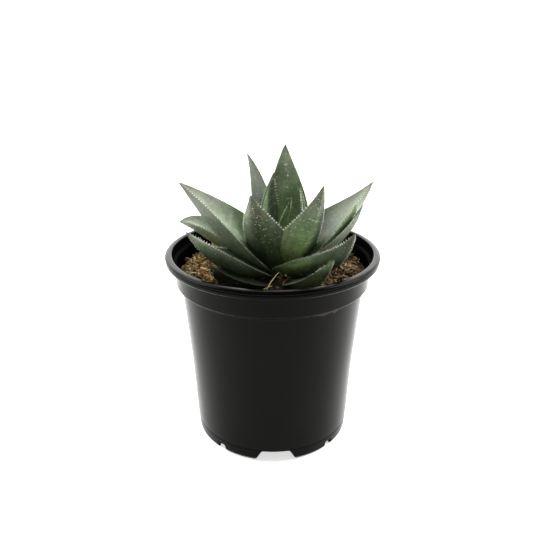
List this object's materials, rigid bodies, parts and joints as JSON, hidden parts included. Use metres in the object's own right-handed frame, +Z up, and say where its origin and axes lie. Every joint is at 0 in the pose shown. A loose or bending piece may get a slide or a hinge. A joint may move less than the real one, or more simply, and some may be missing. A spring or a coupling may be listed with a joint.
{
  "type": "potted haworthia",
  "caption": "Small toothed rosette succulent with spotted grey-green leaves in a round black plastic nursery pot filled with husk and bark mix.",
  "frame": {"origin": "centre of the pot's base, on the surface it stands on", "axes": "+Z up; the picture's camera looks along +Y, so +X is to its right"},
  "size_m": [0.1048, 0.1048, 0.1464],
  "materials": {
    "pot": "thin thermoformed black polypropylene, satin",
    "potting_mix": "loose rice husk and composted bark, matte",
    "stem": "short succulent stem, matte",
    "leaf": "thick succulent leaf with a waxy satin skin, pale raised spots and white toothed margins"
  },
  "bodies": {
    "root": {"pot": "pot", "potting_mix": "potting_mix", "stem": "stem", "leaf_01": "leaf", "leaf_02": "leaf", "leaf_03": "leaf", "leaf_04": "leaf", "leaf_05": "leaf", "leaf_06": "leaf", "leaf_07": "leaf", "leaf_08": "leaf", "leaf_09": "leaf", "leaf_10": "leaf", "leaf_11": "leaf", "leaf_12": "leaf", "leaf_13": "leaf", "leaf_14": "leaf", "leaf_15": "leaf", "leaf_16": "leaf", "leaf_17": "leaf", "leaf_18": "leaf", "leaf_19": "leaf", "leaf_20": "leaf", "leaf_21": "leaf", "leaf_22": "leaf", "leaf_23": "leaf", "leaf_24": "leaf"}
  },
  "joints": []
}
